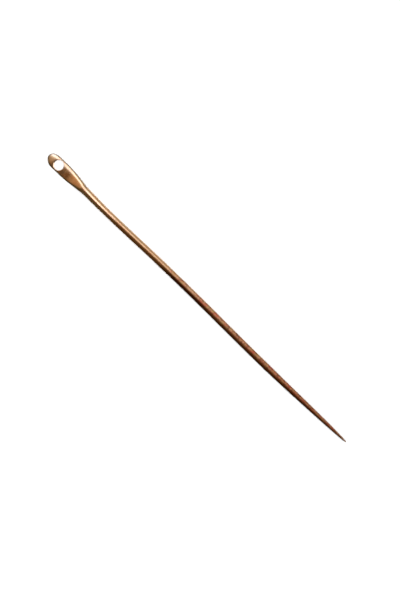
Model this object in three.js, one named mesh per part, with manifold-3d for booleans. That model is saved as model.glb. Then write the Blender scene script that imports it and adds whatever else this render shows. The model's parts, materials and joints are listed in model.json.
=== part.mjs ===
// Cable needle: a slim forged bronze needle with a flattened, pierced head and a long ogive point.
// Units are millimetres and +Z is up. The needle lies on the plane z = 0 with its length along X, the
// head at the -X end and the point at the +X end. The origin is at the bottom centre of its box.
import * as THREE from 'three';
import { mergeVertices } from 'three/addons/utils/BufferGeometryUtils.js';
import Module from 'manifold-3d';

const wasm = await Module();
wasm.setup();

// ---- Driving dimensions, with distances along the needle measured from the head end ----
const length = 127;
const headWidth = 4.25;
const headThickness = 1.3;
const noseLength = 3.1; // the rounded end of the head, a half ellipse seen from above
const widestAt = 4.8;
const rampAt = 8.5; // the upper face leaves its flat here and climbs to the top of the neck
const crestAt = 14.4; // the bar has its full height again here, on the way to the neck
const rampEnd = 15.25; // the upper face runs out on top of the neck here
const neckAt = 17; // the head has narrowed to the round neck here, and the two nodes meet
const neckDiameter = 2.38;
const shankAt = 26; // the neck has settled into the drawn shank here
const shankDiameter = 2.22;
const pointAt = 94; // the shank starts to narrow to the point here
const pointDiameter = 2.08; // the shank's diameter where the point starts
const eyeDiameter = 3.2;
const eyeAt = 4.35; // the eye's centre

// ---- Shape of the stretches between those places ----
const shoulderEase = 1.4; // over 1 keeps the head wide for longer before it narrows
const pointFullness = 0.4; // exponent of the ogive: 1 is a straight cone, less is fuller
const pressedHeight = 1.6; // the head's oval section before its two faces are filed flat
const cutClearance = 1; // how far a cutting solid stands outside the metal

// A needle drawn and hammered by hand is never quite straight: two shallow sets to one side, each
// fading out over a distance before and after its deepest place.
const sets = [
  { at: 26, before: 17, after: 24, depth: 0.28 },
  { at: 93, before: 36, after: 40, depth: 0.37 },
];
const noseLean = 0.14; // the very end of the head is rounded off a little to the other side
const noseLeanReach = 2;

// ---- Smoothness of the faceted solids ----
const barSides = 24;
const headSides = 36;
const eyeSides = 32;
const noseSteps = 7;
const cheekSteps = 3; // between the nose and the ramp
const rampSteps = 10; // shared by the bar and the cut, so that their edges meet cleanly
const crestSteps = 2; // between the ramp and the neck
const neckSteps = 3;
const shankSteps = 17;
const pointSteps = 12;

const { clamp, lerp, smoothstep } = THREE.MathUtils;
const origin = new THREE.Vector3(-length / 2, 0, 0);

// ---- The needle's sections, as functions of the distance along it ----

// 0 at the head's widest place and 1 at the neck: how far the plan has narrowed.
function narrowing(along) {
  const travel = clamp((along - widestAt) / (neckAt - widestAt), 0, 1);
  return smoothstep(travel ** shoulderEase, 0, 1);
}

// 0 on the pressed head and 1 from the crest on: how far the section has regained its height.
function rising(along) {
  return smoothstep(along, rampAt, crestAt);
}

// 0 at the very end of the head, growing to 1 where the rounded nose has reached full size.
function noseRounding(along) {
  const inset = Math.max(noseLength - along, 0) / noseLength;
  return Math.sqrt(1 - inset ** 2);
}

function halfWidth(along) {
  if (along <= neckAt) {
    return noseRounding(along) * lerp(headWidth, neckDiameter, narrowing(along)) / 2;
  }
  if (along <= pointAt) {
    const settled = lerp(neckDiameter, shankDiameter, smoothstep(along, neckAt, shankAt));
    const drawn = Math.max(along - shankAt, 0) / (pointAt - shankAt);
    return (settled + (pointDiameter - shankDiameter) * drawn) / 2;
  }
  return pointDiameter / 2 * ((length - along) / (length - pointAt)) ** pointFullness;
}

// The round bar is pressed to a flat oval at the head.
function halfHeight(along) {
  if (along <= neckAt) {
    return noseRounding(along) * lerp(pressedHeight, neckDiameter, rising(along)) / 2;
  }
  return halfWidth(along);
}

// Height of the middle of the section. The underside lies level as far as the point, whose own
// axis stays straight, so the tip is clear of the table.
function centreHeight(along) {
  if (along <= neckAt) {
    return lerp(headThickness, neckDiameter, rising(along)) / 2;
  }
  return halfWidth(Math.min(along, pointAt));
}

function sideways(along) {
  let offset = noseLean * (1 - smoothstep(along, 0, noseLeanReach));
  for (const set of sets) {
    const reach = along < set.at ? set.before : set.after;
    const travel = Math.min(Math.abs(along - set.at) / reach, 1);
    offset -= set.depth * Math.cos(travel * Math.PI / 2) ** 2;
  }
  return offset;
}

// ---- Solid-making helpers ----

// Evenly spaced distances from one place to another, with the first left out.
function stationsAfter(from, to, steps) {
  return Array.from({ length: steps }, (_, step) => lerp(from, to, (step + 1) / steps));
}

// A bar turned about its own length, then pressed and bent to the needle's sections.
function formedBar(stations, sides) {
  const profile = stations.map((along) => new THREE.Vector2(halfWidth(along), along));
  const ends = [profile[0], profile.at(-1)].map((end) => new THREE.Vector2(0, end.y));
  const bar = new THREE.LatheGeometry([ends[0], ...profile, ends[1]], sides);
  bar.rotateZ(-Math.PI / 2);
  const position = bar.attributes.position;
  for (let index = 0; index < position.count; index++) {
    const along = position.getX(index);
    const pressed = halfWidth(along) > 0 ? halfHeight(along) / halfWidth(along) : 1;
    position.setY(index, position.getY(index) + sideways(along));
    position.setZ(index, position.getZ(index) * pressed + centreHeight(along));
  }
  return bar;
}

// The closed solid of a geometry, ready to be cut.
function solidOf(geometry) {
  const bare = geometry.clone();
  bare.deleteAttribute('normal');
  bare.deleteAttribute('uv');
  const merged = mergeVertices(bare);
  const corners = merged.index.array;
  const triangles = [];
  for (let first = 0; first < corners.length; first += 3) {
    const [a, b, c] = corners.slice(first, first + 3);
    if (a !== b && b !== c && c !== a) triangles.push(a, b, c);
  }
  return new wasm.Manifold(new wasm.Mesh({
    numProp: 3,
    vertProperties: new Float32Array(merged.attributes.position.array),
    triVerts: new Uint32Array(triangles),
  }));
}

function geometryOf(solid) {
  const mesh = solid.getMesh();
  const geometry = new THREE.BufferGeometry();
  geometry.setAttribute('position', new THREE.BufferAttribute(mesh.vertProperties, mesh.numProp));
  geometry.setIndex(new THREE.BufferAttribute(mesh.triVerts, 1));
  geometry.computeVertexNormals();
  return geometry;
}

// A side view in X and Z, given as a shape, run right across the needle.
function acrossNeedle(sideView, curveSegments) {
  const width = headWidth + 2 * cutClearance;
  const slab = new THREE.ExtrudeGeometry(sideView, { depth: width, bevelEnabled: false, curveSegments });
  slab.rotateX(Math.PI / 2);
  slab.translate(0, width / 2, 0);
  return solidOf(slab);
}

// ---- What is filed and drilled away from the head ----

function belowHead() {
  const sideView = new THREE.Shape();
  sideView.moveTo(-cutClearance, -cutClearance);
  sideView.lineTo(neckAt + cutClearance, -cutClearance);
  sideView.lineTo(neckAt + cutClearance, 0);
  sideView.lineTo(-cutClearance, 0);
  return acrossNeedle(sideView, 1);
}

// The upper face is flat round the eye, then climbs in an S to run out on top of the neck. Handles a
// third of the way along keep the curve's steps evenly spaced in X.
function aboveHead() {
  const top = neckDiameter + cutClearance;
  const third = (rampEnd - rampAt) / 3;
  const sideView = new THREE.Shape();
  sideView.moveTo(-cutClearance, headThickness);
  sideView.lineTo(rampAt, headThickness);
  sideView.bezierCurveTo(rampAt + third, headThickness, rampEnd - third, neckDiameter, rampEnd, neckDiameter);
  sideView.lineTo(rampEnd, top);
  sideView.lineTo(-cutClearance, top);
  return acrossNeedle(sideView, rampSteps);
}

function eyeHole() {
  const height = headThickness + 2 * cutClearance;
  const drill = new THREE.CylinderGeometry(eyeDiameter / 2, eyeDiameter / 2, height, eyeSides);
  drill.rotateX(Math.PI / 2);
  drill.translate(eyeAt, 0, headThickness / 2);
  return solidOf(drill);
}

// ---- The nodes ----

const bronze = new THREE.MeshStandardMaterial({ color: 0xb87446, roughness: 0.28, metalness: 1 });

function headNode() {
  // The nose is rounded, so its stations crowd towards the very end.
  const nose = Array.from({ length: noseSteps }, (_, step) => {
    const turn = (step + 1) / noseSteps * Math.PI / 2;
    return noseLength * (1 - Math.cos(turn));
  });
  const stations = [
    0,
    ...nose,
    ...stationsAfter(noseLength, rampAt, cheekSteps),
    ...stationsAfter(rampAt, rampEnd, rampSteps),
    ...stationsAfter(rampEnd, neckAt, crestSteps),
  ];
  const blank = solidOf(formedBar(stations, headSides));
  const head = blank.subtract(belowHead()).subtract(aboveHead()).subtract(eyeHole());
  return new THREE.Mesh(geometryOf(head), bronze);
}

function shankNode() {
  // The ogive's stations crowd towards the tip, where it closes fastest.
  const point = stationsAfter(0, 1, pointSteps).map((share) => {
    return lerp(pointAt, length, Math.sin(share * Math.PI / 2));
  });
  const stations = [
    neckAt,
    ...stationsAfter(neckAt, shankAt, neckSteps),
    ...stationsAfter(shankAt, pointAt, shankSteps),
    ...point,
  ];
  return new THREE.Mesh(geometryOf(solidOf(formedBar(stations, barSides))), bronze);
}

const needle = new THREE.Group();
for (const [name, mesh] of Object.entries({ head: headNode(), shank: shankNode() })) {
  mesh.name = name;
  mesh.position.copy(origin);
  needle.add(mesh);
}

export default needle;
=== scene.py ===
"""A bronze cable needle on a pale floor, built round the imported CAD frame.

The needle lies along X with its head at the -X end and its point at the +X end. Shapes are worked
out in millimetres, with `along` the distance from the head end and `side` the distance towards +Y
from the needle's middle line. The mesh is one closed skin: cells round the eye, then rings from
the head to the tip.
"""

import json
import math

import bmesh
import bpy
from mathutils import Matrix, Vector, noise


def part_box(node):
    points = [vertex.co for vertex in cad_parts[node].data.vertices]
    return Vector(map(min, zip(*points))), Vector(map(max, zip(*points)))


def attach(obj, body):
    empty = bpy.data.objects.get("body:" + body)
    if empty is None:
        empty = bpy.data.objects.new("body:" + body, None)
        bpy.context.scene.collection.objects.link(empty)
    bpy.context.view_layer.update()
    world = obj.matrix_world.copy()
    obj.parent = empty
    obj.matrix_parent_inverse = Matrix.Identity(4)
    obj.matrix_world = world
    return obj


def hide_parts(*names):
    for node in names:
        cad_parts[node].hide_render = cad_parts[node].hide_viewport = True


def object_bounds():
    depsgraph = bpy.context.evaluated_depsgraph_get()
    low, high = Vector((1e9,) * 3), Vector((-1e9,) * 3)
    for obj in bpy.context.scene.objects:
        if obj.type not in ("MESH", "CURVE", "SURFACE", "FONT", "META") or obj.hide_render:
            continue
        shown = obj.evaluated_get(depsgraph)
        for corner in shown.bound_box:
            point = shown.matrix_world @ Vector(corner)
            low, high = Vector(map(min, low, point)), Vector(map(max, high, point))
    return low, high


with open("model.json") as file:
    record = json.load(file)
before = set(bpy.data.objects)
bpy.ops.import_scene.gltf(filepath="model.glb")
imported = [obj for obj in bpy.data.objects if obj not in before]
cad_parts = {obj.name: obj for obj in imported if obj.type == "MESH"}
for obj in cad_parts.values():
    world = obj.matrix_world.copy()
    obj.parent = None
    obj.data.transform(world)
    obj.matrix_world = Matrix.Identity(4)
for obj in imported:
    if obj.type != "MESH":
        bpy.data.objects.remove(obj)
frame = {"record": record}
cad_low, cad_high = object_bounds()

# ---- Driving dimensions, in mm, from the frame ----
MM = 0.001
head_low, head_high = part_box("head")
heights = {mount["name"]: mount["pos_m"][2] for mount in frame["record"]["mounts"]}
length = (cad_high.x - cad_low.x) / MM
head_width = (head_high.y - head_low.y) / MM
head_thickness = (heights["thumb_face"] - heights["rest_face"]) / MM
neck_at = (head_high.x - head_low.x) / MM
neck_diameter = (head_high.z - head_low.z) / MM

# ---- The needle's places and sizes, in mm, as in the CAD model ----
nose_length = 3.1  # the rounded end of the head
widest_at = 4.8
ramp_at = 8.5  # the upper face starts to climb to the top of the neck
crest_at = 14.4  # the bar has its full height again
ramp_end = 15.25  # the upper face runs out on top of the neck
shank_at = 26
shank_diameter = 2.22
point_at = 94
point_diameter = 2.08
eye_diameter = 3.2
eye_at = 4.35
shoulder_ease = 1.4  # over 1 keeps the head wide for longer before it narrows
point_fullness = 0.4  # exponent of the ogive: 1 is a straight cone, less is fuller
pressed_height = 1.6  # the head's oval section before its faces are filed flat
sets = (
    {"at": 26, "before": 17, "after": 24, "depth": 0.28},
    {"at": 93, "before": 36, "after": 40, "depth": 0.37},
)
nose_lean = 0.14
nose_lean_reach = 2

# ---- Softness and unevenness that the CAD model leaves out, in mm ----
face_softness = 0.10  # how far the filed faces' borders are rounded over
crest_softness = 0.24  # the same where the upper face runs out on the neck
softening = (ramp_at + 2, crest_at - 1)  # the one turns into the other between these places
nose_crown = 0.9  # how far the head's very end is domed instead of flat
crest_lift = 0.5  # how far the upper face's cut has risen clear of the neck by the neck's start
crest_lift_at = crest_at - 1.5
face_roll = 0.077  # the upper face is filed out of level by this slope, higher towards +Y
face_crown = 0.03  # and it is a little convex: how strongly it falls away to both sides
face_lift = 0.012  # how far its middle line stands above the CAD model's flat at the nose
face_fall = 0.026  # and how far that line has fallen past the eye
roll_fade = (crest_at - 1.2, ramp_end + 0.3)  # the face turns level between these places
eye_rounding = 0.18  # mean radius of the rim of the eye
eye_wear = 0.35  # how much larger it is on the worn side, and smaller on the other
eye_kept_side = (0.85, 0.53)  # the direction in plan from the eye's centre to the unworn side
rim_wear = 2.0  # how bright the rim of the eye is rubbed, where a filed border has at most 1
unevenness = 0.022  # depth of the hammer's and file's waves
waves = (
    {"lengthwise": 0.22, "crosswise": 0.5, "shift": (0, 7, 0), "strength": 0.5},
    {"lengthwise": 0.7, "crosswise": 0.9, "shift": (0, 0, 3), "strength": 0.3},
)
nick_at = 15.0  # a small nick in the +Y side, where the painted shade along the head's edge ends
nick_reach = 0.4
nick_depth = 0.22
nick_squash = 0.6  # under 1 makes the nick taller than it is long
least_half_width = 1e-6  # stands in for the tip's own, which is zero, where it is divided by

# ---- Where the head's colour is darkened: painted shade, dark spots and stains ----
eye_shade_depth = 0.5  # the painted shade round the edge of the eye
eye_shade_fade = (0.05, 0.5)  # distances from the eye's edge over which it fades out
eye_shade_along = (-0.2, 1.0)  # distances past the eye's centre between which it sets in
eye_shade_aside = (0.9, 1.6)  # distances towards +Y between which it ends
nick_shade = (0.2, 0.75)  # distances from the nick over which its painted shade fades out
spot_core = 0.2  # radius of the evenly dark middle of a spot
# Darker spots on the head.
dark_spots = (
    {"at": 6.6, "side": -0.9, "reach": 1.0, "depth": 0.7},
    {"at": 2.4, "side": 0.55, "reach": 0.45, "depth": 0.5},
    {"at": 2.9, "side": -1.3, "reach": 0.7, "depth": 0.6},
)
stains = (
    {"at": 8.3, "side": -0.3, "reach": 1.1, "depth": 0.6},
    {"at": 9.9, "side": 0.0, "reach": 0.8, "depth": 0.45},
)
border_rise = (0.78, 0.94)  # shares of the half-width between which the painted edge shade sets in
border_far_share = 0.8  # how plainly it shows towards -Y
border_far_rise = (-0.6, 0.1)  # shares of the half-width towards +Y between which it gets plainer
border_end_share = 0.45  # how plainly it shows at the very end of the head
border_end_rise = (0.3, 2.0)  # distances from the head end between which it gets plainer
border_stop = 0.2  # it ends over this length, at the nick

# ---- Fineness of the mesh ----
ring_points = 96
join_at = 7.2  # the cells round the eye end here and the rings begin
nose_steps = 18
cheek_steps = 20
rim_steps = 4
wall_steps = 4
ray_steps = 14
tip_steps = 90
fine_spacing = 0.15  # between rings at the head, in mm
fine_until = neck_at + 3
shank_spacing = 0.4


def lerp(low, high, share):
    return low + (high - low) * share


def smoothstep(value, low, high):
    share = min(max((value - low) / (high - low), 0), 1)
    return share * share * (3 - 2 * share)


# ---- Sections ----


def narrowing(along):
    travel = min(max((along - widest_at) / (neck_at - widest_at), 0), 1)
    return smoothstep(travel ** shoulder_ease, 0, 1)


def rising(along):
    return smoothstep(along, ramp_at, crest_at)


def nose_inset(along):
    return max(nose_length - along, 0) / nose_length


def full_half_width(along):
    """Half the width of the section, before the nose is rounded off."""
    if along <= neck_at:
        return lerp(head_width, neck_diameter, narrowing(along)) / 2
    if along <= point_at:
        settled = lerp(neck_diameter, shank_diameter, smoothstep(along, neck_at, shank_at))
        drawn = max(along - shank_at, 0) / (point_at - shank_at)
        return (settled + (point_diameter - shank_diameter) * drawn) / 2
    left = max(length - along, 0) / (length - point_at)
    return point_diameter / 2 * left ** point_fullness


def half_width(along):
    return full_half_width(along) * math.sqrt(1 - nose_inset(along) ** 2)


def full_half_height(along):
    if along <= neck_at:
        return lerp(pressed_height, neck_diameter, rising(along)) / 2
    return full_half_width(along)


def centre_height(along):
    if along <= neck_at:
        return lerp(head_thickness, neck_diameter, rising(along)) / 2
    return full_half_width(min(along, point_at))


def sideways(along):
    offset = nose_lean * (1 - smoothstep(along, 0, nose_lean_reach))
    for bend in sets:
        reach = bend["before"] if along < bend["at"] else bend["after"]
        travel = min(abs(along - bend["at"]) / reach, 1)
        offset -= bend["depth"] * math.cos(travel * math.pi / 2) ** 2
    return offset


def face_height(along, side):
    """Height of the head's filed upper face."""
    level = lerp(head_thickness, neck_diameter, smoothstep(along, ramp_at, ramp_end))
    roll = face_lift + face_roll * side - face_crown * side ** 2
    roll -= face_fall * smoothstep(along, eye_at, ramp_at)
    roll *= 1 - smoothstep(along, *roll_fade)
    return level + roll + crest_lift * smoothstep(along, crest_lift_at, neck_at)


def softness(along):
    dome = nose_crown * (1 - smoothstep(along, 0, nose_length))
    return lerp(face_softness, crest_softness, smoothstep(along, *softening)) + dome


def soft_minimum(a, b, width):
    """The lower of two heights with the corner rounded, and how near the corner is, from 0 to 1."""
    nearness = max(width - abs(a - b), 0) / width
    return min(a, b) - nearness ** 2 * width / 4, nearness


def surface(along, side, upper):
    """Height of the skin over a place in plan, and how near a filed border it is."""
    share = 1 - nose_inset(along) ** 2 - (side / full_half_width(along)) ** 2
    swell = full_half_height(along) * math.sqrt(max(share, 0))
    centre = centre_height(along)
    if not upper:
        height, nearness = soft_minimum(swell - centre, 0, face_softness)
        return -height, nearness * (1 - rising(along))
    if along >= neck_at:
        return centre + swell, 0
    return soft_minimum(centre + swell, face_height(along, side), softness(along))


# ---- Traits of the metal, from 0 to 1 over a place in plan ----


def spot_depth(spots, along, side):
    """How deep in any of the spots a place lies."""
    depth = 0
    for spot in spots:
        gap = math.hypot(along - spot["at"], side - spot["side"])
        depth = max(depth, spot["depth"] * (1 - smoothstep(gap, spot_core, spot["reach"])))
    return depth


# Painted shade round the edge of the eye, on its side towards the point and away from +Y.
def eye_shade(along, side):
    gap = math.hypot(along - eye_at, side) - eye_diameter / 2
    shaded_share = smoothstep(along - eye_at, *eye_shade_along) * (1 - smoothstep(side, *eye_shade_aside))
    return eye_shade_depth * shaded_share * (1 - smoothstep(gap, *eye_shade_fade))


def edge_shade_share(along, aside):
    """How plainly the painted edge shade shows. `aside` is the share of the half-width towards +Y."""
    shown = lerp(border_far_share, 1, smoothstep(aside, *border_far_rise))
    shown *= 1 - smoothstep(along, nick_at - border_stop, nick_at)
    return shown * lerp(border_end_share, 1, smoothstep(along, *border_end_rise))


def traits(along, side):
    """What the material reads. "round" is how far across the needle the place is, from +Y to -Y."""
    width = max(full_half_width(along), least_half_width)
    outward = math.hypot(nose_inset(along), side / width)
    nick_gap = math.hypot(along - nick_at, side - width)
    nick = 1 - smoothstep(nick_gap, *nick_shade)
    return {
        # Painted shade round the eye and in the nick, with the darker spots.
        "shade_and_spots": max(eye_shade(along, side), spot_depth(dark_spots, along, side), nick),
        "stain": spot_depth(stains, along, side),
        # Painted shade along the head's outer edge.
        "border": smoothstep(outward, *border_rise) * edge_shade_share(along, side / width),
        "round": 0.5 - 0.5 * side / width,
    }


# ---- The skin ----


class Skin:
    """Vertices in mm, with the traits of each, and the faces that join them."""

    def __init__(self):
        self.points = []
        self.traits = []
        self.faces = []

    def add(self, along, side, height, wear=0.0):
        self.points.append((along, side + sideways(along), height))
        self.traits.append({**traits(along, side), "wear": wear})
        return len(self.points) - 1

    def join(self, loops):
        """Quads from each closed loop to the next. All have the same number of points."""
        for loop, following in zip(loops, loops[1:]):
            for index, point in enumerate(loop):
                after = (index + 1) % len(loop)
                self.faces.append((point, loop[after], following[after], following[index]))

    def close(self, loop, tip):
        for index, point in enumerate(loop):
            self.faces.append((point, loop[(index + 1) % len(loop)], tip))


def ring(skin, along):
    """A loop of points round the needle, from the +Y side over the top and back underneath."""
    loop = []
    for index in range(ring_points):
        turn = 2 * math.pi * index / ring_points
        side = half_width(along) * math.cos(turn)
        if index in (0, ring_points // 2):
            loop.append(skin.add(along, side, centre_height(along)))
        else:
            height, wear = surface(along, side, index < ring_points // 2)
            loop.append(skin.add(along, side, height, wear))
    return loop


def stations():
    """Where the rings lie: close at the head, wider apart on the shank, closing up at the tip."""
    places = [join_at]
    while places[-1] < fine_until:
        places.append(places[-1] + fine_spacing)
    while places[-1] < point_at - shank_spacing:
        places.append(places[-1] + shank_spacing)
    for step in range(tip_steps):
        places.append(lerp(point_at, length, math.sin(step / tip_steps * math.pi / 2)))
    return places


def nose_outline():
    """Plan points round the nose, from past the join's +Y end to just before its -Y end."""
    cheek = [lerp(nose_length, join_at, 1 - (step + 1) / cheek_steps) for step in range(cheek_steps)]
    nose = []
    for step in range(1, nose_steps + 1):
        turn = step / nose_steps * math.pi / 2
        nose.append(nose_length * (1 - math.sin(turn)))
    one_side = [(along, half_width(along)) for along in cheek + nose[:-1]]
    other_side = [(along, -side) for along, side in reversed(one_side)]
    return [*one_side, (0, 0), *other_side]


def eye_outline(skin, join_ring):
    """Where the rays from the eye end: places in plan, and the points there above and below."""
    places = nose_outline()
    shared = [skin.add(along, side, head_thickness / 2) for along, side in places]
    half = ring_points // 2
    for index in range(half, -1, -1):
        places.append((join_at, half_width(join_at) * math.cos(math.pi * index / half)))
    return places, shared + join_ring[half::-1], shared + join_ring[half:] + join_ring[:1]


def from_eye(along, side):
    """The distance from the eye's centre to a place in plan, and the direction."""
    reach = math.hypot(along - eye_at, side)
    return reach, ((along - eye_at) / reach, side / reach)


def beside_eye(toward, radius):
    return eye_at + toward[0] * radius, toward[1] * radius


def steps_from_eye(toward, span):
    """Distances outward from the eye's edge, and how far the rounded rim lies below the face there."""
    kept = eye_kept_side[0] * toward[0] + eye_kept_side[1] * toward[1]
    rounding = eye_rounding * (1 - eye_wear * kept)
    steps = []
    for step in range(rim_steps + 1):
        turn = step / rim_steps * math.pi / 2
        steps.append((rounding * (1 - math.cos(turn)), rounding * (1 - math.sin(turn))))
    for step in range(1, ray_steps):
        share = math.sin(step / ray_steps * math.pi / 2)
        steps.append((lerp(rounding, span, share), 0))
    return steps


def eye_face(skin, places, outer, upper):
    """The upper or lower face from the eye out to the loop `outer`. Returns its loop at the bore."""
    inward = -1 if upper else 1
    rays = []
    for place in places:
        reach, toward = from_eye(*place)
        ray = []
        for distance, drop in steps_from_eye(toward, reach - eye_diameter / 2):
            here = beside_eye(toward, eye_diameter / 2 + distance)
            height, border = surface(*here, upper)
            ray.append(skin.add(*here, height + inward * drop, rim_wear if drop > 0 else border))
        rays.append(ray)
    loops = [list(loop) for loop in zip(*rays)]
    skin.join([*loops, outer])
    return loops[0]


def eye_bore(skin, places, upper_edge, lower_edge):
    loops = [upper_edge]
    for step in range(1, wall_steps):
        loop = []
        for place, above, below in zip(places, upper_edge, lower_edge):
            _, toward = from_eye(*place)
            height = lerp(skin.points[above][2], skin.points[below][2], step / wall_steps)
            loop.append(skin.add(*beside_eye(toward, eye_diameter / 2), height))
        loops.append(loop)
    skin.join([*loops, lower_edge])


def needle_skin():
    skin = Skin()
    rings = [ring(skin, along) for along in stations()]
    skin.join(rings)
    skin.close(rings[-1], skin.add(length, 0, centre_height(length)))
    places, above, below = eye_outline(skin, rings[0])
    upper_edge = eye_face(skin, places, above, True)
    lower_edge = eye_face(skin, places, below, False)
    eye_bore(skin, places, upper_edge, lower_edge)
    return skin


def wave(along, side, height):
    """The unevenness left by forging, from 0 to 1."""
    value = 0.5
    for pattern in waves:
        place = (
            along * pattern["lengthwise"] + pattern["shift"][0],
            side * pattern["crosswise"] + pattern["shift"][1],
            height * pattern["crosswise"] + pattern["shift"][2],
        )
        value += pattern["strength"] * noise.noise(Vector(place))
    return min(max(value, 0), 1)


def sinking(along, side, height):
    """How far the hammer's waves and the nick take the surface below its ideal shape.

    The waves are shallower where the needle is thin.
    """
    depth = unevenness * min(half_width(along), 1) * wave(along, side, height)
    if side > 0:
        gap = math.hypot(along - nick_at, (height - centre_height(along)) * nick_squash)
        depth += nick_depth * (1 - smoothstep(gap, 0, nick_reach))
    return depth


def needle_mesh():
    skin = needle_skin()
    shape = bmesh.new()
    layers = {name: shape.verts.layers.float.new(name) for name in skin.traits[0]}
    for point, values in zip(skin.points, skin.traits):
        vertex = shape.verts.new(point)
        for name, value in values.items():
            vertex[layers[name]] = value
    shape.verts.ensure_lookup_table()
    for corners in skin.faces:
        face = shape.faces.new([shape.verts[corner] for corner in corners])
        face.smooth = True
    bmesh.ops.recalc_face_normals(shape, faces=shape.faces)
    shape.normal_update()
    offsets = [-sinking(*vertex.co) * vertex.normal for vertex in shape.verts]
    origin = Vector((cad_low.x, 0, cad_low.z))
    for vertex, offset in zip(shape.verts, offsets):
        vertex.co = origin + (vertex.co + offset) * MM
    mesh = bpy.data.meshes.new("needle")
    shape.to_mesh(mesh)
    shape.free()
    return mesh


# ---- Nodes ----


class Nodes:
    """A short way to write the nodes of a material or of the world."""

    def __init__(self, owner):
        owner.use_nodes = True
        self.tree = owner.node_tree
        self.tree.nodes.clear()

    def make(self, kind, inputs=None, **settings):
        made = self.tree.nodes.new("ShaderNode" + kind)
        for name, value in settings.items():
            setattr(made, name, value)
        for name, value in (inputs or {}).items():
            self.feed(made.inputs[name], value)
        return made

    def feed(self, socket, value):
        if isinstance(value, bpy.types.NodeSocket):
            self.tree.links.new(value, socket)
        else:
            socket.default_value = value

    def finish(self, kind, shader):
        self.make(kind, {"Surface": shader.outputs[0]})

    def math(self, operation, a, b=0.0):
        return self.make("Math", {0: a, 1: b}, operation=operation).outputs[0]

    def product(self, first, *others):
        for other in others:
            first = self.math("MULTIPLY", first, other)
        return first

    def rise(self, value, span, low=0.0, high=1.0):
        """A smooth step from `low` to `high` over a span of the value."""
        inputs = {"Value": value, "From Min": span[0], "From Max": span[1], "To Min": low, "To Max": high}
        return self.make("MapRange", inputs, interpolation_type="SMOOTHSTEP").outputs["Result"]

    def fall(self, value, span):
        return self.rise(value, span, 1.0, 0.0)

    def mix(self, share, a, b, blend="MIX"):
        """A mix of two colours. Sockets 0, 6 and 7 are the Mix node's factor and its two colours."""
        made = self.make("Mix", data_type="RGBA", blend_type=blend)
        self.feed(made.inputs[0], share)
        self.feed(made.inputs[6], a)
        self.feed(made.inputs[7], b)
        return made.outputs[2]

    def tint(self, share, colour, by):
        return self.mix(share, colour, by, "MULTIPLY")

    def blend(self, share, a, b):
        """A mix of two numbers, which are the Mix node's sockets 2 and 3."""
        return self.make("Mix", {0: share, 2: a, 3: b}, data_type="FLOAT").outputs[0]

    def noise(self, place, scale, detail, roughness, lengthwise=1):
        """A noise, drawn out along X where `lengthwise` is under 1."""
        place = self.make("Mapping", {"Vector": place, "Scale": (lengthwise, 1, 1)}).outputs[0]
        inputs = {"Vector": place, "Scale": scale, "Detail": detail, "Roughness": roughness}
        return self.make("TexNoise", inputs).outputs["Fac"]

    def trait(self, name):
        return self.make("Attribute", attribute_name=name).outputs["Fac"]


# ---- The bronze ----

# Each noise: its scale per mm, detail, roughness, and how it is scaled lengthwise.
noises = {
    "blotches": (0.35, 4.0, 0.6, 1),
    "mottle": (1.1, 4.0, 0.65, 1),
    "flecks": (1.2, 4.0, 0.65, 0.5),
    "fine": (0.8, 3.0, 0.6, 1),
    "scratches": (14.0, 3.0, 0.7, 0.12),
}
noise_span = (0.3, 0.7)  # nearly all of a noise's values lie between these

# Stretches along the needle, in mm from its middle towards the point.
patina_waver = (-9.0, 9.0)  # how far the patina's border strays to either side
patina_rise = (-22.0, 4.0)  # polished metal before it, patina after it
ageing_rise = (0.0, 50.0)
tip_rise = (58.0, 62.5)
ramp_highlight_rise = (-55.0, -51.0)  # a yellower stretch at the shoulder: the ramp's highlight painted yellower and dimmer
ramp_highlight_fall = (-49.8, -48.2)
nose_highlight_fall = (-62.0, -60.3)  # the very end of the head is duller and greyer: its highlight painted less yellow
flank_orange_rise = (-44.0, -32.0)  # from here on, the flank towards -Y has painted orange shade
dark_rise = (-21.0, -9.0)  # its darkest stretch
dark_fall = (1.0, 9.0)
black_rise = (33.0, 45.0)  # near the point it is darker still

# How far across the needle the painted shade on the flank and the edge sets in, from 0 at the +Y edge to 1
# at the -Y edge.
flank_orange_across = (0.475, 0.80)
flank_shade_across = (0.475, 0.95)
darkest_across = (0.45, 0.70)
edge_shade_across = (0.3, 0.7)

# How strongly the layers show.
flank_orange_strength = 0.75
flank_shade_polished = 0.1
flank_shade_aged = 0.95
edge_shade_strength = 0.85
wear_strength = 0.35
# Painted shade round the eye and in the nick, and the darker spots: where the mottle sets them in, and how
# strongly.
spot_shade_span = (0.3, 0.6)
spot_shade_strength = (0.35, 0.8)

# Colours, as linear red, green, blue and alpha.
polished_pale = (0.75, 0.50, 0.30, 1)
brown_pale = (0.58, 0.30, 0.17, 1)
aged_tint = (0.69, 0.57, 0.52, 1)
tip_brown = (0.30, 0.17, 0.11, 1)
# The ramp's highlight painted yellower and dimmer.
ramp_highlight_tint = (0.89, 0.83, 0.69, 1)
# The nose's highlight painted greyer.
nose_highlight_tint = (0.76, 0.90, 1.0, 1)
stain_brown = (0.52, 0.22, 0.06, 1)
# Painted shade on the flank towards -Y: orange, brown, and nearly black near the point.
shade_orange = (0.55, 0.20, 0.05, 1)
shade_brown = (0.16, 0.045, 0.014, 1)
shade_black = (0.065, 0.015, 0.006, 1)
# Painted shade along the head's outer edge: paler towards +Y, darker towards -Y.
edge_shade_pale = (0.40, 0.39, 0.34, 1)
edge_shade_dark = (0.25, 0.235, 0.20, 1)
# Painted shade round the eye and in the nick, and the darker spots.
spot_shade_brown = (0.28, 0.20, 0.16, 1)
rubbed_gold = (0.82, 0.66, 0.50, 1)

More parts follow.
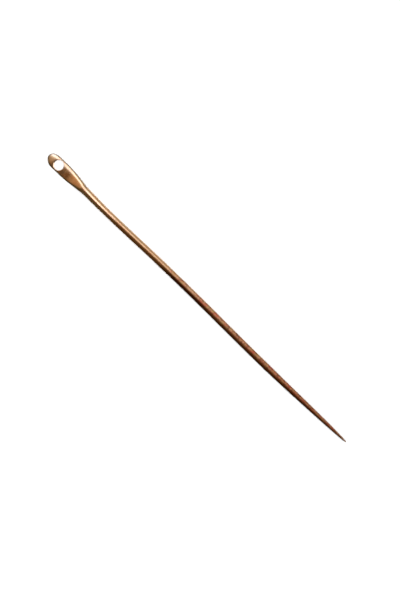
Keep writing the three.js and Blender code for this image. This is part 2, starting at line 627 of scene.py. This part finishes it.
# Layers over the pale polished metal and the pale brown patina: noise, span, strength and colour.
polished_layers = (
    ("mottle", (0.35, 0.7), 1.0, (0.66, 0.41, 0.22, 1)),
    ("fine", (0.45, 0.62), 0.6, (0.78, 0.42, 0.23, 1)),
)
patina_layers = (
    ("mottle", (0.40, 0.60), 1.0, (0.22, 0.10, 0.055, 1)),
    ("flecks", (0.46, 0.62), 1.0, (0.46, 0.12, 0.07, 1)),
    ("fine", (0.50, 0.64), 1.0, (0.46, 0.28, 0.125, 1)),
)

# Gloss and relief.
polished_roughness = (0.17, 0.27)
patina_roughness = (0.33, 0.46)
pit_scale = 2.2  # pits per mm
pit_span = (0.05, 0.16)
pit_strength = 0.3
lump_strength = 0.8
polished_lumps = 0.15
patina_lumps = 1.5
relief_strength = 0.35
relief_height = 0.02 * MM


class Patterns:
    """The noises, and the values that the bronze's colour, gloss and relief share."""

    def __init__(self, n):
        coordinates = n.make("TexCoord").outputs["Object"]
        self.place = n.make("VectorMath", {0: coordinates, "Scale": 1 / MM}, operation="SCALE").outputs[0]
        self.x = n.make("SeparateXYZ", {0: self.place}).outputs[0]
        self.noise = {name: n.noise(self.place, *settings) for name, settings in noises.items()}
        waver = n.rise(self.noise["blotches"], noise_span, *patina_waver)
        self.patina = n.rise(n.math("ADD", self.x, waver), patina_rise)


def layered(n, patterns, colour, layers):
    for name, span, strength, over in layers:
        colour = n.mix(n.rise(patterns.noise[name], span, 0.0, strength), colour, over)
    return colour


def metal_colour(n, patterns):
    """Polished on the head half, and under a mottled patina on the point half."""
    polished = layered(n, patterns, polished_pale, polished_layers)
    aged = layered(n, patterns, brown_pale, patina_layers)
    aged = n.tint(n.rise(patterns.x, ageing_rise), aged, aged_tint)
    colour = n.mix(patterns.patina, polished, aged)
    colour = n.mix(n.rise(patterns.x, tip_rise), colour, tip_brown)
    # The ramp's highlight painted yellower and dimmer, and the nose's highlight painted greyer.
    ramp_highlight = n.product(n.rise(patterns.x, ramp_highlight_rise), n.fall(patterns.x, ramp_highlight_fall))
    colour = n.tint(ramp_highlight, colour, ramp_highlight_tint)
    colour = n.tint(n.fall(patterns.x, nose_highlight_fall), colour, nose_highlight_tint)
    return n.mix(n.trait("stain"), colour, stain_brown)


def flank_shaded(n, patterns, across, colour):
    """The metal with painted shade on its flank towards -Y, in orange, brown or nearly black."""
    orange_shade = n.product(n.rise(across, flank_orange_across), n.rise(patterns.x, flank_orange_rise, 0.0, flank_orange_strength))
    colour = n.mix(orange_shade, colour, shade_orange)
    darkest = n.product(n.rise(patterns.x, dark_rise), n.fall(patterns.x, dark_fall))
    shaded = n.blend(darkest, n.rise(across, flank_shade_across), n.rise(across, darkest_across))
    strength = n.math("MAXIMUM", darkest, n.blend(patterns.patina, flank_shade_polished, flank_shade_aged))
    shade_colour = n.mix(n.rise(patterns.x, black_rise), shade_brown, shade_black)
    return n.mix(n.product(shaded, strength), colour, shade_colour)


def bronze_colour(n, patterns):
    across = n.trait("round")
    # Painted shade on the flank towards -Y.
    colour = flank_shaded(n, patterns, across, metal_colour(n, patterns))
    # Painted shade along the head's outer edge, paler towards +Y and darker towards -Y.
    scale = n.mix(n.rise(across, edge_shade_across), edge_shade_pale, edge_shade_dark)
    colour = n.mix(n.product(n.trait("border"), edge_shade_strength), colour, scale)
    # Painted shade round the eye and in the nick, and the darker spots.
    spots_and_shade = n.product(n.trait("shade_and_spots"), n.rise(patterns.noise["mottle"], spot_shade_span, *spot_shade_strength))
    colour = n.mix(spots_and_shade, colour, spot_shade_brown)
    return n.mix(n.product(n.trait("wear"), wear_strength), colour, rubbed_gold)


def bronze_roughness(n, patterns):
    polished = n.rise(patterns.noise["scratches"], noise_span, *polished_roughness)
    aged = n.rise(patterns.noise["mottle"], noise_span, *patina_roughness)
    return n.blend(patterns.patina, polished, aged)


def bronze_relief(n, patterns):
    """Fine scratches all over, and pits and lumps that are deeper under the patina."""
    cells = n.make("TexVoronoi", {"Vector": patterns.place, "Scale": pit_scale}).outputs["Distance"]
    pits = n.product(n.rise(cells, pit_span), pit_strength)
    lumps = n.math("ADD", pits, n.product(patterns.noise["fine"], lump_strength))
    lumps = n.product(lumps, n.blend(patterns.patina, polished_lumps, patina_lumps))
    height = n.math("ADD", patterns.noise["scratches"], lumps)
    inputs = {"Height": height, "Strength": relief_strength, "Distance": relief_height}
    return n.make("Bump", inputs).outputs[0]


def bronze_material():
    material = bpy.data.materials.new("bronze")
    n = Nodes(material)
    patterns = Patterns(n)
    n.finish("OutputMaterial", n.make("BsdfPrincipled", {
        "Base Color": bronze_colour(n, patterns),
        "Metallic": 1.0,
        "Roughness": bronze_roughness(n, patterns),
        "Normal": bronze_relief(n, patterns),
    }))
    return material


# ---- The needle and the floor ----


def add_object(name, data):
    made = bpy.data.objects.new(name, data)
    bpy.context.scene.collection.objects.link(made)
    return made


def make_needle():
    mesh = needle_mesh()
    needle = add_object("needle", mesh)
    mesh.materials.append(bronze_material())
    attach(needle, "root")
    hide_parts("head", "shank")


floor_size = 1.0  # in metres
floor_cells = 8  # along each side
floor_noise = (3.0, 3.0, 0.5)  # scale per metre, detail and roughness
floor_tones = ((0.86, 0.86, 0.86, 1), (0.90, 0.90, 0.90, 1))
floor_roughness = 0.9


def floor_material():
    material = bpy.data.materials.new("pale_floor")
    n = Nodes(material)
    coordinates = n.make("TexCoord").outputs["Object"]
    tone = n.mix(n.noise(coordinates, *floor_noise), *floor_tones)
    n.finish("OutputMaterial", n.make("BsdfPrincipled", {"Base Color": tone, "Roughness": floor_roughness}))
    return material


def make_floor():
    shape = bmesh.new()
    bmesh.ops.create_grid(shape, x_segments=floor_cells, y_segments=floor_cells, size=floor_size / 2)
    mesh = bpy.data.meshes.new("floor")
    shape.to_mesh(mesh)
    shape.free()
    floor = add_object("floor", mesh)
    floor.location.z = cad_low.z
    mesh.materials.append(floor_material())
    floor.visible_glossy = False


# ---- Lights ----

wash_size = 1.6  # in metres; it hangs as high as it is wide
wash_radiance = 5.4
warm = (1.0, 0.94, 0.94)
# Each softbox: name, span, tilts, distance, radiance and colour, as softbox() takes them.
softboxes = (
    ("key", (-0.230, -0.0485), (11, 56), 0.15, 2.5, (0.72, 0.765, 1.0)),
    ("skirt", (-0.230, -0.0485), (0, 11), 0.15, 0.52, (0.76, 0.85, 0.82)),
    ("crest", (-0.0482, -0.0385), (-5, 30), 0.03, 2.5, (0.72, 0.76, 0.98)),
    ("middle", (-0.038, -0.020), (9, 43), 0.10, 1.10, warm),
    ("half", (-0.020, -0.010), (15, 58), 0.10, 0.42, warm),
    ("dim", (-0.010, 0.002), (16, 58), 0.10, 0.42, warm),
    ("fill", (0.010, 0.045), (5, 78), 0.2, 0.82, warm),
    ("tail", (0.045, 0.130), (5, 78), 0.2, 0.55, warm),
)


def area_light(name, position, target, size, radiance, colour=(1, 1, 1)):
    """A rectangular soft light, not seen by the camera. Its power follows from its radiance."""
    data = bpy.data.lights.new(name, "AREA")
    data.shape = "RECTANGLE"
    data.size, data.size_y = size
    data.energy = radiance * math.pi * size[0] * size[1]
    data.color = colour
    light = add_object(name, data)
    light.location = position
    light.rotation_euler = (Vector(target) - Vector(position)).to_track_quat("-Z", "Y").to_euler()
    light.visible_camera = False
    return light


def softbox(name, span, tilts, distance, radiance, colour):
    """A light that only the metal mirrors, in an arc over the needle's length.

    span is the stretch of the needle that it lies over, in metres along X, and tilts are the
    angles of its near and far edges from overhead towards +Y, in degrees.
    """
    near, far = (math.radians(tilt) for tilt in tilts)
    angle = (near + far) / 2
    middle = (span[0] + span[1]) / 2
    size = (span[1] - span[0], 2 * distance * math.tan((far - near) / 2))
    position = (middle, distance * math.sin(angle), distance * math.cos(angle))
    light = area_light(name, position, (middle, 0, 0), size, radiance, colour)
    light.visible_diffuse = False


def make_lights():
    wash = area_light("floor_wash", (0, 0, wash_size), (0, 0, 0), (wash_size, wash_size), wash_radiance)
    wash.visible_glossy = False
    for row in softboxes:
        softbox(*row)


# ---- The room that the metal mirrors ----

# Colours, brighter than 1 for a lamp.
ceiling_head = (0.21, 0.15, 0.085, 1)
ceiling_point = (0.08, 0.055, 0.03, 1)
ceiling_tint = (0.85, 0.7, 0.55, 1)
wall_dark = (0.115, 0.10, 0.05, 1)
card_end = (0.34, 0.34, 0.32, 1)
card_middle = (0.76, 0.52, 0.32, 1)
window_low = (0.92, 0.86, 0.70, 1)
window_high = (0.46, 0.44, 0.39, 1)
corner_lamp = (2.4, 2.2, 1.9, 1)
flank_lamp = (1.2, 1.1, 1.0, 1)
floor_sky = (0.15, 0.15, 0.15, 1)  # the room as the floor is lit by it
backdrop = (1, 1, 1, 1)

# Where they set in, by the direction's share towards the point, towards +Y or upwards.
ceiling_x = (0.15, 0.45)
ceiling_y = (-0.35, 0.0)
wall_y = (-0.80, -0.50)
card_x = (-0.5, -0.05)
card_y = (-0.65, -0.05)
card_z = (0.25, 0.65)
card_middle_x = (-0.8, -0.4)
window_z = (-0.5, 0.1)
window_y = (0.35, 0.75)
corner_x = (0.2, 0.45)
corner_y = (0.1, 0.4)
flank_x = (0.45, 0.70)
flank_y = (-0.68, -0.48)
flank_z = (0.15, 0.50)


def dim_studio(n, x, y):
    """A dark ceiling, less dark towards the head, and a wall on the -Y side."""
    ceiling = n.mix(n.rise(x, ceiling_x), ceiling_head, ceiling_point)
    ceiling = n.mix(n.rise(y, ceiling_y), n.tint(1.0, ceiling, ceiling_tint), ceiling)
    return n.mix(n.rise(y, wall_y), wall_dark, ceiling)


def room(n, x, y, z):
    """The dim studio, with a card above the head end, a pale window side towards +Y, a lamp at the
    point's +Y corner, and a lamp low on the -Y side at each end.
    """
    card = n.product(n.fall(x, card_x), n.rise(y, card_y), n.rise(z, card_z))
    card_colour = n.mix(n.rise(x, card_middle_x), card_end, card_middle)
    colour = n.mix(card, dim_studio(n, x, y), card_colour)
    window = n.mix(n.rise(z, window_z), window_low, window_high)
    colour = n.mix(n.rise(y, window_y), colour, window)
    corner = n.product(n.rise(x, corner_x), n.rise(y, corner_y))
    colour = n.mix(corner, colour, corner_lamp)
    ends = n.rise(n.math("ABSOLUTE", x), flank_x)
    flank = n.product(ends, n.fall(y, flank_y), n.fall(z, flank_z))
    return n.mix(flank, colour, flank_lamp)


def make_world():
    world = bpy.data.worlds.new("studio")
    bpy.context.scene.world = world
    n = Nodes(world)
    direction = n.make("TexCoord").outputs["Generated"]
    x, y, z = n.make("SeparateXYZ", {0: direction}).outputs
    path = n.make("LightPath").outputs
    plain = n.mix(path["Is Camera Ray"], floor_sky, backdrop)
    colour = n.mix(path["Is Glossy Ray"], plain, room(n, x, y, z))
    n.finish("OutputWorld", n.make("Background", {"Color": colour, "Strength": 1.0}))


# ---- The camera ----

floor_in_view = 0.1844  # metres of floor along the picture's long side
camera_height = 1.2
camera_turn = math.radians(43.97)
camera_aside = (0.79 * MM, -0.39 * MM)  # from the needle's middle, right and up in the picture
sensor_width = 36


def make_camera():
    data = bpy.data.cameras.new("camera")
    data.sensor_width = sensor_width
    data.lens = sensor_width * camera_height / floor_in_view
    camera = add_object("camera", data)
    right = Vector((math.cos(camera_turn), math.sin(camera_turn), 0))
    up = Vector((-math.sin(camera_turn), math.cos(camera_turn), 0))
    centre = (cad_low + cad_high) / 2
    beside = centre + right * camera_aside[0] + up * camera_aside[1]
    camera.location = beside + Vector((0, 0, camera_height))
    camera.rotation_euler = (0, 0, camera_turn)
    bpy.context.scene.camera = camera


make_needle()
make_floor()
make_lights()
make_world()
make_camera()
bpy.context.scene.view_settings.view_transform = "Standard"
